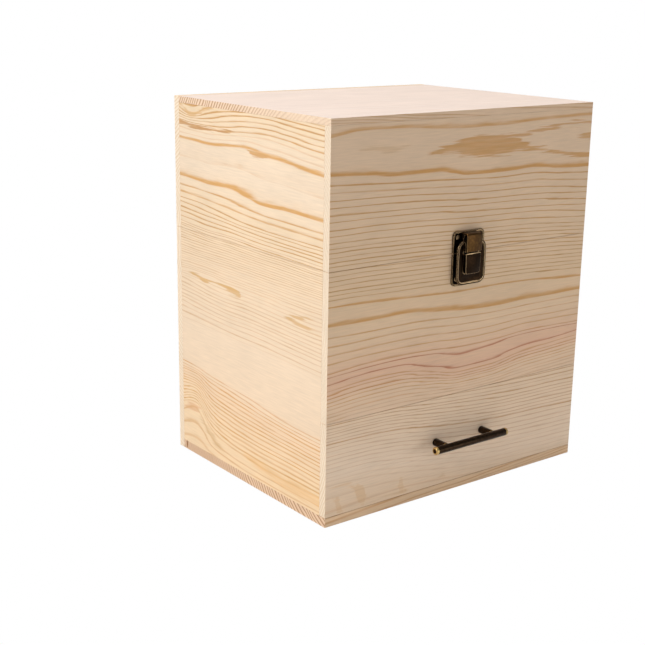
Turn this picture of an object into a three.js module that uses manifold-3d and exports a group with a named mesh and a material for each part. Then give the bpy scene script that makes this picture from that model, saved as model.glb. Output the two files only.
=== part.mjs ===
// A pine box for small bottles: a tall hinged lid, a lift-out tray under it, an open well
// below the tray and a drawer at the foot. The lid is held by an over-centre toggle latch.
// Millimetres, +Z up, the front looks along -Y, the origin is on the ground under the middle.
import * as THREE from "three";
import { mergeVertices } from "three/addons/utils/BufferGeometryUtils.js";
import Module from "manifold-3d";

const wasm = await Module();
wasm.setup();

// The case: it is glued up as one closed box and sawn apart at the seam
const boxWidth = 344;
const boxDepth = 270;
const baseHeight = 251.3;
const lidHeight = 138.4;
const seamGap = 0.3;
const frontBoard = 9;
const backBoard = 9;
const sideBoard = 9;
const topBoard = 6.5;
const bottomBoard = 9.5;
const shelfBoard = 6;
const bottomGroove = 2.6;
const bottomGrooveEdge = 5;
const bottomGrooveSkin = 1.2;
const glueLine = 0.1;

// The drawer
const drawerFrontHeight = 94.8;
const drawerReveal = 0.4;
const drawerWall = 7;
const drawerWallHeight = 72;
const drawerFloor = 4;
const drawerSideRun = 1;
const drawerFootRun = 0.3;
const drawerBackRun = 6;
const drawerColumns = 8;
const drawerRows = 6;
const drawerDividerHeight = 48;

// The tray
const trayHeight = 58;
const trayDrop = 3;
const trayWall = 7;
const trayFloor = 4;
const traySideRun = 1;
const traySeat = 0.3;
const trayColumns = 6;
const trayRows = 5;
const trayDividerHeight = 29;
const ledgerWidth = 10;
const ledgerHeight = 10;
const handHoleLength = 80;
const handHoleHeight = 18;
const handHoleEdge = 6;

// The half-lapped dividers of both grids
const dividerThickness = 3;
const lapGap = 0.3;

// The T-bar pull
const pullLength = 100;
const pullCentres = 64;
const pullStandOff = 19;
const barRadius = 4;
const barChamfer = 0.7;
const barEndDimple = 1.9;
const barDimpleDepth = 1.2;
const postRadius = 4;
const postSeat = 0.3;
const boltRadius = 2;
const boltHeadRadius = 4;
const boltHeadHeight = 2.4;
const boltClearance = 0.3;

// The latch, in its own frame: x across, y up from the seam, z out from the front
const latchWidth = 41.6;
const basePlateHeight = 33.2;
const catchPlateHeight = 21.4;
const plateSheet = 1;
const plateRim = 1.6;
const plateRimRise = 1;
const plateCorner = 5;
const plateBevel = 0.4;
const plateSplit = 0.5;
const plateScrewRadius = 1.5;
const plateScrewSpread = 14.2;
const catchScrewRise = 15.5;
const baseScrewEdge = 7;
const leverWidth = 39;
const leverFootCorner = 9;
const leverTopCorner = 11;
const leverLift = 4.8;
const leverDepth = 2.4;
const leverSheet = 1;
const leverRim = 2.2;
const leverBevel = 0.9;
const leverPivotRise = 8.8;
const leverPivotOut = 6;
const leverReach = 40.8;
const leverCrown = 4.6;
const leverPinRadius = 1.1;
const lugThickness = 2;
const lugRound = 2.4;
const lugStem = 8.7;
const lugFoot = 3.2;
const lugClear = 0.4;
const lugKnuckleClear = 0.8;
const lugArcDegrees = 69;
const bossWidth = 20;
const bossFootRise = 11.1;
const bossFace = 9.9;
const bossCorner = 3;
const bossBevel = 1.2;
const bossWall = 1.4;
const bossCover = 1.3;
const tonguePivotRise = 3.2;
const tonguePivotOut = 7;
const tongueKnuckle = 1.9;
const tonguePinRadius = 0.8;
const tongueSheet = 1.6;
const tongueEdge = 0.7;
const tongueToe = 0.8;
const tongueFace = 10.6;
const tongueRise = 20;
const tongueBend = 2.5;
const tongueTipOut = 2.2;
const keeperWidth = 15;
const keeperDepth = 2.5;
const keeperHeight = 6;
const keeperSlope = 3;
const latchGap = 0.3;

// The butt hinges, in the same kind of frame on the back
const hingeWidth = 38;
const hingeSpread = 200;
const leafHeight = 20;
const leafSheet = 1.4;
const leafCorner = 3;
const leafSeat = 0.1;
const knuckleRadius = 2.7;
const knuckleCount = 3;
const hingePinRadius = 1.2;
const hingePinHead = 2.1;
const hingePinHeadHeight = 1;
const hingeGap = 0.3;
const leafScrewRadius = 1.7;
const leafScrewSpread = 12.5;

// How far a cutting shape runs past what it cuts
const overrun = 1;

// Sides of the round shapes
const roundSides = 24;
const smallRoundSides = 16;
const cornerSteps = 6;

// Levels and faces that several pieces share
const halfWidth = boxWidth / 2;
const frontFace = -boxDepth / 2;
const backFace = boxDepth / 2;
const innerSide = halfWidth - sideBoard;
const innerFront = frontFace + frontBoard;
const innerBack = backFace - backBoard;
const lidFoot = baseHeight + seamGap;
const boxTop = lidFoot + lidHeight;
const seamLevel = baseHeight + seamGap / 2;
const drawerFrontFoot = bottomBoard + drawerReveal;
const shelfFoot = drawerFrontFoot + drawerFrontHeight + drawerReveal;
const pullLevel = drawerFrontFoot + drawerFrontHeight / 2;

// Materials
const pineMaterial = () =>
  new THREE.MeshStandardMaterial({ color: 0xe3c9a4, roughness: 0.62, metalness: 0 });
const plyMaterial = () =>
  new THREE.MeshStandardMaterial({ color: 0xd9bd94, roughness: 0.66, metalness: 0 });
const bronzeMaterial = () =>
  new THREE.MeshStandardMaterial({ color: 0x4a3821, roughness: 0.45, metalness: 0.9 });
const brassMaterial = () =>
  new THREE.MeshStandardMaterial({ color: 0x9c7b45, roughness: 0.38, metalness: 0.9 });

// Solids from geometries, and back
function solidOf(geometry) {
  const bare = geometry.index ? geometry.toNonIndexed() : geometry.clone();
  bare.deleteAttribute("normal");
  bare.deleteAttribute("uv");
  const merged = mergeVertices(bare);
  return new wasm.Manifold(
    new wasm.Mesh({
      numProp: 3,
      vertProperties: merged.attributes.position.array,
      triVerts: new Uint32Array(merged.index.array),
    }),
  );
}

function geometryOf(solid) {
  const mesh = solid.getMesh();
  const geometry = new THREE.BufferGeometry();
  geometry.setAttribute("position", new THREE.BufferAttribute(mesh.vertProperties, 3));
  geometry.setIndex(new THREE.BufferAttribute(mesh.triVerts, 1));
  geometry.computeVertexNormals();
  return geometry;
}

const joined = (geometries) =>
  geometries.map(solidOf).reduce((whole, next) => whole.add(next));

const withCuts = (solid, geometries) =>
  geometries.map(solidOf).reduce((left, cut) => left.subtract(cut), solid);

function named(name, geometry, material) {
  const mesh = new THREE.Mesh(geometry, material);
  mesh.name = name;
  return mesh;
}

function grouped(children) {
  const group = new THREE.Group();
  group.add(...children);
  return group;
}

// A block between two corners
function blockGeometry(low, high) {
  const size = low.map((value, axis) => high[axis] - value);
  const centre = low.map((value, axis) => (value + high[axis]) / 2);
  return new THREE.BoxGeometry(...size).translate(...centre);
}

// A board between two corners, placed by its middle
function board(name, low, high, material = pineMaterial()) {
  const size = low.map((value, axis) => high[axis] - value);
  const mesh = named(name, new THREE.BoxGeometry(...size), material);
  mesh.position.set(...low.map((value, axis) => (value + high[axis]) / 2));
  return mesh;
}

// A rectangle with its own radius at the foot and at the top
function roundedRectangle(low, high, footRadius, topRadius) {
  const [left, foot] = low;
  const [right, top] = high;
  const shape = new THREE.Shape();
  const turn = Math.PI / 2;
  const corner = (x, y, radius, quarter) => {
    if (radius > 0) shape.absarc(x, y, radius, (quarter - 1) * turn, quarter * turn, false);
    else shape.lineTo(x, y);
  };
  shape.moveTo(left + footRadius, foot);
  corner(right - footRadius, foot + footRadius, footRadius, 0);
  corner(right - topRadius, top - topRadius, topRadius, 1);
  corner(left + topRadius, top - topRadius, topRadius, 2);
  corner(left + footRadius, foot + footRadius, footRadius, 3);
  return shape;
}

function circlePath(x, y, radius) {
  return new THREE.Path().absarc(x, y, radius, 0, 2 * Math.PI, true);
}

// An outline in x and y, pushed from one height to another along z
function slab(shape, low, high, bevel = 0, curveSegments = cornerSteps) {
  return new THREE.ExtrudeGeometry(shape, {
    depth: high - low - 2 * bevel,
    bevelEnabled: bevel > 0,
    bevelThickness: bevel,
    bevelSize: bevel,
    bevelOffset: -bevel,
    bevelSegments: 2,
    curveSegments,
  }).translate(0, 0, low + bevel);
}

// A side view, drawn as (out, up), pushed across from one x to another
function crossSlab(shape, low, high, bevel = 0) {
  return slab(shape, 0, high - low, bevel)
    .rotateY(-Math.PI / 2)
    .translate(high, 0, 0);
}

// A round rod along x
function rod(radius, low, high, up, out, sides = roundSides) {
  return new THREE.CylinderGeometry(radius, radius, high - low, sides)
    .rotateZ(Math.PI / 2)
    .translate((low + high) / 2, up, out);
}

// A round hole or peg along z
function peg(radius, x, y, low, high) {
  return new THREE.CylinderGeometry(radius, radius, high - low, smallRoundSides)
    .rotateX(Math.PI / 2)
    .translate(x, y, (low + high) / 2);
}

// A standing panel, drawn in (length, height) and set along X or along Y
function alongX(mesh, left, back, foot) {
  mesh.rotation.set(Math.PI / 2, 0, 0);
  mesh.position.set(left, back, foot);
  return mesh;
}

function alongY(mesh, left, front, foot) {
  mesh.rotation.set(Math.PI / 2, 0, Math.PI / 2, "ZXY");
  mesh.position.set(left, front, foot);
  return mesh;
}

// Hardware is drawn on a wall: x across, y up, z out of the wall
function onFront(children, level) {
  const group = grouped(children);
  group.rotation.set(Math.PI / 2, 0, 0);
  group.position.set(0, frontFace, level);
  return group;
}

function onBack(children, x, level) {
  const group = grouped(children);
  group.rotation.set(Math.PI / 2, 0, Math.PI, "ZXY");
  group.position.set(x, backFace, level);
  return group;
}

// A divider strip with a slot at every crossing, from its top edge or from its foot
function dividerStrip(length, height, crossings, slotsFromTop) {
  const slot = dividerThickness / 2 + lapGap;
  const lap = height / 2 - lapGap / 2;
  const points = [new THREE.Vector2(0, 0)];
  const addSlots = (edge, places, side) => {
    for (const place of places) {
      points.push(new THREE.Vector2(place - side * slot, edge));
      points.push(new THREE.Vector2(place - side * slot, slotsFromTop ? lap : height - lap));
      points.push(new THREE.Vector2(place + side * slot, slotsFromTop ? lap : height - lap));
      points.push(new THREE.Vector2(place + side * slot, edge));
    }
  };
  if (!slotsFromTop) addSlots(0, crossings, 1);
  points.push(new THREE.Vector2(length, 0), new THREE.Vector2(length, height));
  if (slotsFromTop) addSlots(height, [...crossings].reverse(), -1);
  points.push(new THREE.Vector2(0, height));
  return slab(new THREE.Shape(points), 0, dividerThickness);
}

// A grid of half-lapped dividers in the well between two corners
function dividerGrid(name, low, high, height, columns, rows) {
  const length = high[0] - low[0] - 2 * lapGap;
  const depth = high[1] - low[1] - 2 * lapGap;
  const foot = low[2] + glueLine;
  const columnPitch = (high[0] - low[0]) / columns;
  const rowPitch = (high[1] - low[1]) / rows;
  const columnPlaces = Array.from({ length: columns - 1 }, (_, i) => (i + 1) * columnPitch);
  const rowPlaces = Array.from({ length: rows - 1 }, (_, i) => (i + 1) * rowPitch);
  const crossingsX = columnPlaces.map((place) => place - lapGap);
  const crossingsY = rowPlaces.map((place) => place - lapGap);
  const long = rowPlaces.map((place, i) => {
    const geometry = dividerStrip(length, height, crossingsX, true);
    const mesh = named(`${name}_long_divider_${i + 1}`, geometry, plyMaterial());
    return alongX(mesh, low[0] + lapGap, low[1] + place + dividerThickness / 2, foot);
  });
  const cross = columnPlaces.map((place, i) => {
    const geometry = dividerStrip(depth, height, crossingsY, false);
    const mesh = named(`${name}_cross_divider_${i + 1}`, geometry, plyMaterial());
    return alongY(mesh, low[0] + place - dividerThickness / 2, low[1] + lapGap, foot);
  });
  return grouped([...long, ...cross]);
}

// The lid: its front, sides and top carry the grain round, and its back is a full-width board
function lid() {
  const sideTop = boxTop - topBoard - glueLine;
  const front = innerFront + glueLine;
  const back = innerBack - glueLine;
  return grouped([
    board("lid_top", [-halfWidth, frontFace, boxTop - topBoard], [halfWidth, back, boxTop]),
    board("lid_front", [-halfWidth, frontFace, lidFoot], [halfWidth, innerFront, sideTop]),
    board("lid_back", [-halfWidth, innerBack, lidFoot], [halfWidth, backFace, boxTop]),
    board("lid_left", [-halfWidth, front, lidFoot], [-innerSide, back, sideTop]),
    board("lid_right", [innerSide, front, lidFoot], [halfWidth, back, sideTop]),
  ]);
}

// The bottom board, grooved across near its back edge
function baseBottom() {
  const length = innerBack - glueLine - frontFace;
  const grooveEnd = length - bottomGrooveEdge;
  const shape = new THREE.Shape();
  shape.moveTo(0, 0);
  shape.lineTo(length, 0);
  shape.lineTo(length, bottomBoard);
  shape.lineTo(grooveEnd, bottomBoard);
  shape.lineTo(grooveEnd, bottomGrooveSkin);
  shape.lineTo(grooveEnd - bottomGroove, bottomGrooveSkin);
  shape.lineTo(grooveEnd - bottomGroove, bottomBoard);
  shape.lineTo(0, bottomBoard);
  const geometry = slab(shape, 0, boxWidth);
  return alongY(named("base_bottom", geometry, pineMaterial()), -halfWidth, frontFace, 0);
}

// The base: its back board stands on the ground, and its front board ends over the drawer
function base() {
  const sideFoot = bottomBoard + glueLine;
  const front = innerFront + glueLine;
  const back = innerBack - glueLine;
  const shelfSide = innerSide - glueLine;
  const shelfTop = shelfFoot + shelfBoard;
  return grouped([
    baseBottom(),
    board("base_back", [-halfWidth, innerBack, 0], [halfWidth, backFace, baseHeight]),
    board("base_front", [-halfWidth, frontFace, shelfFoot], [halfWidth, innerFront, baseHeight]),
    board("base_left", [-halfWidth, front, sideFoot], [-innerSide, back, baseHeight]),
    board("base_right", [innerSide, front, sideFoot], [halfWidth, back, baseHeight]),
    board("base_shelf", [-shelfSide, front, shelfFoot], [shelfSide, back, shelfTop], plyMaterial()),
  ]);
}

// The drawer front, drilled for the two bolts of the pull
function drawerFront() {
  const shape = roundedRectangle([-halfWidth, 0], [halfWidth, drawerFrontHeight], 0, 0);
  for (const side of [-1, 1]) {
    const x = (side * pullCentres) / 2;
    shape.holes.push(circlePath(x, drawerFrontHeight / 2, boltRadius + boltClearance));
  }
  const geometry = slab(shape, 0, frontBoard, 0, smallRoundSides / 2);
  return alongX(named("drawer_front", geometry, pineMaterial()), 0, innerFront, drawerFrontFoot);
}

// The drawer: four walls and a floor behind the front board, and a grid that starts just
// behind the bolt heads of the pull
function drawer() {
  const side = innerSide - drawerSideRun;
  const inner = side - drawerWall;
  const foot = bottomBoard + drawerFootRun;
  const top = foot + drawerWallHeight;
  const front = innerFront + glueLine;
  const back = innerBack - drawerBackRun;
  const innerEnd = back - drawerWall;
  const floorSide = inner - glueLine;
  const floorTop = foot + drawerFloor;
  const floorEnd = innerEnd - glueLine;
  const gridStart = innerFront + boltClearance + boltHeadHeight + lapGap;
  return grouped([
    drawerFront(),
    board("drawer_left", [-side, front, foot], [-inner, back, top]),
    board("drawer_right", [inner, front, foot], [side, back, top]),
    board("drawer_back", [-floorSide, innerEnd, foot], [floorSide, back, top]),
    board(
      "drawer_floor",
      [-floorSide, front, foot],
      [floorSide, floorEnd, floorTop],
      plyMaterial(),
    ),
    dividerGrid(
      "drawer",
      [-inner, gridStart, floorTop],
      [inner, innerEnd, floorTop],
      drawerDividerHeight,
      drawerColumns,
      drawerRows,
    ),
    pull(),
  ]);
}

// A tray end with a long hole for the fingers
function trayEnd(name, left, front, back, foot) {
  const length = back - front;
  const shape = roundedRectangle([0, 0], [length, trayHeight], 0, 0);
  const top = trayHeight - handHoleEdge;
  const radius = handHoleHeight / 2;
  const low = [length / 2 - handHoleLength / 2, top - handHoleHeight];
  const high = [length / 2 + handHoleLength / 2, top];
  shape.holes.push(roundedRectangle(low, high, radius, radius));
  return alongY(named(name, slab(shape, 0, trayWall), pineMaterial()), left, front, foot);
}

// The tray: it hangs on two ledgers just under the rim, and lifts out by its end holes
function tray() {
  const side = innerSide - traySideRun;
  const inner = side - trayWall;
  const top = baseHeight - trayDrop;
  const foot = top - trayHeight;
  const front = innerFront + traySideRun;
  const back = innerBack - traySideRun;
  const innerStart = front + trayWall;
  const innerEnd = back - trayWall;
  const wallSide = inner - glueLine;
  const floorTop = foot + trayFloor;
  return grouped([
    trayEnd("tray_left", -side, front, back, foot),
    trayEnd("tray_right", inner, front, back, foot),
    board("tray_front", [-wallSide, front, foot], [wallSide, innerStart, top]),
    board("tray_back", [-wallSide, innerEnd, foot], [wallSide, back, top]),
    board(
      "tray_floor",
      [-wallSide, innerStart + glueLine, foot],
      [wallSide, innerEnd - glueLine, floorTop],
      plyMaterial(),
    ),
    dividerGrid(
      "tray",
      [-inner, innerStart, floorTop],
      [inner, innerEnd, floorTop],
      trayDividerHeight,
      trayColumns,
      trayRows,
    ),
  ]);
}

// The ledgers that carry the tray, glued along the base's sides
function ledgers() {
  const top = baseHeight - trayDrop - trayHeight - traySeat;
  const foot = top - ledgerHeight;
  const outer = innerSide - glueLine;
  const inner = outer - ledgerWidth;
  const front = innerFront + glueLine;
  const back = innerBack - glueLine;
  return grouped([
    board("tray_ledger_left", [-outer, front, foot], [-inner, back, top]),
    board("tray_ledger_right", [inner, front, foot], [outer, back, top]),
  ]);
}

// The bar of the pull: a turned rod with chamfered, dimpled ends
function pullBar() {
  const half = pullLength / 2;
  const bed = half - barDimpleDepth;
  const profile = [
    [0, -bed],
    [barEndDimple, -half],
    [barRadius - barChamfer, -half],
    [barRadius, barChamfer - half],
    [barRadius, half - barChamfer],
    [barRadius - barChamfer, half],
    [barEndDimple, half],
    [0, bed],
  ].map(([radius, along]) => new THREE.Vector2(radius, along));
  const geometry = new THREE.LatheGeometry(profile, roundSides).rotateZ(Math.PI / 2);
  return named("pull_bar", geometry.translate(0, 0, pullStandOff), bronzeMaterial());
}

// A post of the pull with the bolt that holds it, its outer end hollowed to seat the bar
function pullPost(name, x) {
  const boltEnd = -frontBoard - boltClearance;
  const profile = [
    [0, boltEnd - boltHeadHeight],
    [boltHeadRadius, boltEnd - boltHeadHeight],
    [boltHeadRadius, boltEnd],
    [boltRadius, boltEnd],
    [boltRadius, glueLine],
    [postRadius, glueLine],
    [postRadius, pullStandOff],
    [0, pullStandOff],
  ].map(([radius, along]) => new THREE.Vector2(radius, along));
  const post = new THREE.LatheGeometry(profile, roundSides).rotateX(Math.PI / 2);
  const seatRadius = barRadius + postSeat;
  const seat = rod(seatRadius, -barRadius - overrun, barRadius + overrun, 0, pullStandOff);
  const geometry = geometryOf(withCuts(solidOf(post), [seat]));
  const mesh = named(name, geometry, bronzeMaterial());
  mesh.position.x = x;
  return mesh;
}

function pull() {
  const pieces = [
    pullBar(),
    pullPost("pull_post_left", -pullCentres / 2),
    pullPost("pull_post_right", pullCentres / 2),
  ];
  return onFront(pieces, pullLevel);
}

// The lever's two cheeks: their inner faces, and how far out they reach under the tongue
const cheekInside = bossWidth / 2 - bossWall;
const cheekFace = tongueFace - tongueSheet - latchGap;

// A lug that carries the lever's pin: it rises from the base plate and leans over the seam,
// hollowed where the tongue's knuckle lies
function lug(low) {
  const top = -plateSplit / 2;
  const arcStart = -THREE.MathUtils.degToRad(lugArcDegrees);
  const shape = new THREE.Shape();
  shape.moveTo(plateSheet / 2, top - lugStem);
  shape.lineTo(lugFoot, top - lugStem);
  shape.lineTo(tonguePivotOut - tongueKnuckle - lugKnuckleClear, tonguePivotRise);
  shape.absarc(leverPivotOut, leverPivotRise, lugRound, arcStart, Math.PI, false);
  shape.lineTo(plateSheet + lugClear, top);
  shape.lineTo(plateSheet / 2, top);
  return crossSlab(shape, low, low + lugThickness);
}

// The base plate: a pressed sheet with a raised rim on three sides and two lugs
function latchBasePlate() {
  const half = latchWidth / 2;
  const top = -plateSplit / 2;
  const foot = top - basePlateHeight;
  const outline = roundedRectangle([-half, foot], [half, top], plateCorner, 0);
  const low = [-half + plateRim, foot + plateRim];
  const high = [half - plateRim, top + overrun];
  const field = roundedRectangle(low, high, plateCorner - plateRim, 0);
  const rimTop = plateSheet + plateRimRise;
  const sheet = withCuts(solidOf(slab(outline, 0, rimTop, plateBevel)), [
    slab(field, plateSheet, rimTop + overrun),
  ]);
  const lugEnd = cheekInside - latchGap;
  const lugs = joined([lug(-lugEnd), lug(lugEnd - lugThickness)]);
  const screws = [-1, 1].map((side) =>
    peg(plateScrewRadius, side * plateScrewSpread, foot + baseScrewEdge, -overrun, rimTop),
  );
  const pin = rod(leverPinRadius + latchGap, -half, half, leverPivotRise, leverPivotOut);
  const plate = withCuts(sheet.add(lugs), [...screws, pin]);
  return named("latch_base_plate", geometryOf(plate), bronzeMaterial());
}

// The catch plate on the lid: the same rim turned over, and the keeper that the tongue hooks
function latchCatchPlate() {
  const half = latchWidth / 2;
  const foot = plateSplit / 2;
  const top = foot + catchPlateHeight;
  const outline = roundedRectangle([-half, foot], [half, top], 0, plateCorner);
  const low = [-half + plateRim, foot - overrun];
  const high = [half - plateRim, top - plateRim];
  const field = roundedRectangle(low, high, 0, plateCorner - plateRim);
  const rimTop = plateSheet + plateRimRise;
  const sheet = withCuts(solidOf(slab(outline, 0, rimTop, plateBevel)), [
    slab(field, plateSheet, rimTop + overrun),
  ]);
  const keeperTop = tongueRise - tongueSheet - latchGap;
  const keeperFoot = keeperTop - keeperHeight;
  const keeper = new THREE.Shape();
  keeper.moveTo(plateSheet / 2, keeperFoot);
  keeper.lineTo(plateSheet, keeperFoot);
  keeper.lineTo(plateSheet + keeperDepth, keeperFoot + keeperSlope);
  keeper.lineTo(plateSheet + keeperDepth, keeperTop);
  keeper.lineTo(plateSheet / 2, keeperTop);
  const whole = sheet.add(solidOf(crossSlab(keeper, -keeperWidth / 2, keeperWidth / 2)));
  const screws = [-1, 1].map((side) =>
    peg(plateScrewRadius, side * plateScrewSpread, catchScrewRise, -overrun, rimTop),
  );
  return named("latch_catch_plate", geometryOf(withCuts(whole, screws)), bronzeMaterial());
}

// A cheek of the lever: a wall under the edge of the tongue that both pins pass through
function leverCheek(low) {
  const shape = new THREE.Shape();
  const quarter = Math.PI / 2;
  const tongueRound = cheekFace - tonguePivotOut;
  const leverRound = cheekFace - leverPivotOut;
  shape.absarc(tonguePivotOut, tonguePivotRise, tongueRound, 2 * quarter, 4 * quarter, false);
  shape.absarc(leverPivotOut, leverPivotRise, leverRound, 0, quarter, false);
  shape.lineTo(leverLift, leverPivotRise + leverRound);
  shape.lineTo(leverLift, tonguePivotRise);
  return crossSlab(shape, low, low + bossWall);
}

// The lever: a dished plate with a hollow ridge up its middle. Above the tongue's pin only
// the two cheeks of the ridge are left, and below it there is a trough for the tongue's toe
function latchLever() {
  const half = leverWidth / 2;
  const top = leverPivotRise + leverCrown;
  const foot = leverPivotRise - leverReach;
  const face = leverLift + leverDepth;
  const above = top + overrun;
  const outside = bossFace + overrun;
  const outline = roundedRectangle([-half, foot], [half, top], leverFootCorner, leverTopCorner);
  const low = [-half + leverRim, foot + leverRim];
  const high = [half - leverRim, top - leverRim];
  const dishFoot = leverFootCorner - leverRim;
  const dish = roundedRectangle(low, high, dishFoot, leverTopCorner - leverRim);
  const pan = withCuts(solidOf(slab(outline, leverLift, face, leverBevel)), [
    slab(dish, leverLift + leverSheet, face + overrun),
  ]);
  const bossHalf = bossWidth / 2;
  const bossFoot = foot + bossFootRise;
  const ridge = roundedRectangle([-bossHalf, bossFoot], [bossHalf, top], bossCorner, 0);
  const boss = withCuts(solidOf(slab(ridge, leverLift, bossFace, bossBevel)), [
    blockGeometry([-half, tonguePivotRise, 0], [half, above, outside]),
  ]);
  const sweep = Math.hypot(tongueFace - tonguePivotOut, tongueKnuckle) + latchGap;
  const troughHalf = bossHalf + latchGap;
  const round = rod(sweep, -troughHalf, troughHalf, tonguePivotRise, tonguePivotOut);
  const trough = solidOf(round).subtract(
    solidOf(blockGeometry([-half, tonguePivotRise, 0], [half, above, outside])),
  );
  const cheeks = joined([leverCheek(-bossHalf), leverCheek(cheekInside)]);
  const hollow = blockGeometry(
    [-cheekInside, bossFoot + bossWall, 0],
    [cheekInside, tonguePivotRise, bossFace - bossCover],
  );
  const between = blockGeometry([-cheekInside, 0, 0], [cheekInside, above, cheekFace]);
  const leverBore = leverPinRadius + latchGap;
  const tongueBore = tonguePinRadius + latchGap;
  const pins = [
    rod(leverBore, -troughHalf, troughHalf, leverPivotRise, leverPivotOut),
    rod(tongueBore, -troughHalf, troughHalf, tonguePivotRise, tonguePivotOut),
  ];
  const whole = withCuts(pan.add(boss).subtract(trough).add(cheeks), [hollow, between, ...pins]);
  return named("latch_lever", geometryOf(whole), bronzeMaterial());
}

// The side view of the tongue: a flat blade with a rounded toe and a shelf that turns in
function tongueOutline() {
  const inner = tongueFace - tongueSheet;
  const innerBend = tongueBend - tongueSheet;
  const foot = tonguePivotRise - tongueKnuckle;
  const shape = new THREE.Shape();
  const quarter = Math.PI / 2;
  shape.absarc(tongueFace - tongueToe, foot + tongueToe, tongueToe, -quarter, 0, false);
  shape.absarc(tongueFace - tongueBend, tongueRise - tongueBend, tongueBend, 0, quarter, false);
  shape.lineTo(tongueTipOut, tongueRise);
  shape.lineTo(tongueTipOut, tongueRise - tongueSheet);
  shape.absarc(inner - innerBend, tongueRise - tongueBend, innerBend, quarter, 0, true);
  shape.lineTo(inner, foot);
  return shape;
}

function latchTongue() {
  const half = bossWidth / 2;
  const end = cheekInside - latchGap;
  const blade = crossSlab(tongueOutline(), -half, half, tongueEdge);
  const knuckle = rod(tongueKnuckle, -end, end, tonguePivotRise, tonguePivotOut);
  const web = blockGeometry(
    [-end, tonguePivotRise - tongueKnuckle, tonguePivotOut],
    [end, tonguePivotRise + tongueKnuckle, tongueFace - tongueSheet / 2],
  );
  const pin = rod(tonguePinRadius + latchGap, -half, half, tonguePivotRise, tonguePivotOut);
  const tongue = withCuts(joined([blade, knuckle, web]), [pin]);
  return named("latch_tongue", geometryOf(tongue), bronzeMaterial());
}

function latchPins() {
  const end = bossWidth / 2 - latchGap;
  const lever = rod(leverPinRadius, -end, end, leverPivotRise, leverPivotOut);
  const tongue = rod(tonguePinRadius, -end, end, tonguePivotRise, tonguePivotOut);
  return [
    named("latch_lever_pin", lever, brassMaterial()),
    named("latch_tongue_pin", tongue, brassMaterial()),
  ];
}

function latch() {
  const pieces = [latchBasePlate(), latchCatchPlate(), latchLever(), latchTongue()];
  return onFront([...pieces, ...latchPins()], seamLevel);
}

// One knuckle of a hinge leaf and the web that rolls into it; side is 1 up and -1 down
function hingeKnuckle(index, side) {
  const pinOut = hingeGap + knuckleRadius;
  const length = (hingeWidth - (knuckleCount - 1) * hingeGap) / knuckleCount;
  const low = index * (length + hingeGap) - hingeWidth / 2;
  const reach = side * (knuckleRadius + hingeGap + leafCorner);
  const web = blockGeometry(
    [low, Math.min(0, reach), leafSeat],
    [low + length, Math.max(0, reach), leafSeat + leafSheet],
  );
  return joined([rod(knuckleRadius, low, low + length, 0, pinOut), web]);
}

// A hinge leaf with three screw holes
function hingeLeaf(name, side, knuckles) {
  const half = hingeWidth / 2;
  const pinOut = hingeGap + knuckleRadius;
  const root = side * (knuckleRadius + hingeGap);
  const edge = side * leafHeight;
  const footRadius = side < 0 ? leafCorner : 0;
  const low = [-half, Math.min(root, edge)];
  const high = [half, Math.max(root, edge)];
  const outline = roundedRectangle(low, high, footRadius, leafCorner - footRadius);
  const leafTop = leafSeat + leafSheet;
  const plate = solidOf(slab(outline, leafSeat, leafTop));
  const whole = knuckles.reduce((left, index) => left.add(hingeKnuckle(index, side)), plate);
  const screws = [-1, 0, 1].map((place) =>
    peg(leafScrewRadius, place * leafScrewSpread, (root + edge) / 2, 0, leafTop + overrun),
  );
  const bore = rod(hingePinRadius + hingeGap, -half - overrun, half + overrun, 0, pinOut);
  return named(name, geometryOf(withCuts(whole, [...screws, bore])), bronzeMaterial());
}

function hingePin(name) {
  const half = hingeWidth / 2 + hingeGap;
  const profile = [
    [0, -half - hingePinHeadHeight],
    [hingePinHead, -half - hingePinHeadHeight],
    [hingePinHead, -half],
    [hingePinRadius, -half],
    [hingePinRadius, half],
    [hingePinHead, half],
    [hingePinHead, half + hingePinHeadHeight],
    [0, half + hingePinHeadHeight],
  ].map(([radius, along]) => new THREE.Vector2(radius, along));
  const geometry = new THREE.LatheGeometry(profile, roundSides).rotateZ(Math.PI / 2);
  const pinOut = hingeGap + knuckleRadius;
  return named(name, geometry.translate(0, 0, pinOut), brassMaterial());
}

// The base's leaf holds the outer knuckles and the lid's leaf the ones between
function hinge(name, x) {
  const places = Array.from({ length: knuckleCount }, (_, i) => i);
  const pieces = [
    hingeLeaf(`${name}_base_leaf`, -1, places.filter((i) => i % 2 === 0)),
    hingeLeaf(`${name}_lid_leaf`, 1, places.filter((i) => i % 2 === 1)),
    hingePin(`${name}_pin`),
  ];
  return onBack(pieces, x, seamLevel);
}

const oilStorageBox = grouped([
  base(),
  ledgers(),
  lid(),
  drawer(),
  tray(),
  latch(),
  hinge("hinge_left", -hingeSpread / 2),
  hinge("hinge_right", hingeSpread / 2),
]);
oilStorageBox.name = "oil_storage_box";

export default oilStorageBox;
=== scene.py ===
import math

import bmesh
import bpy
from mathutils import Matrix, Vector


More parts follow.
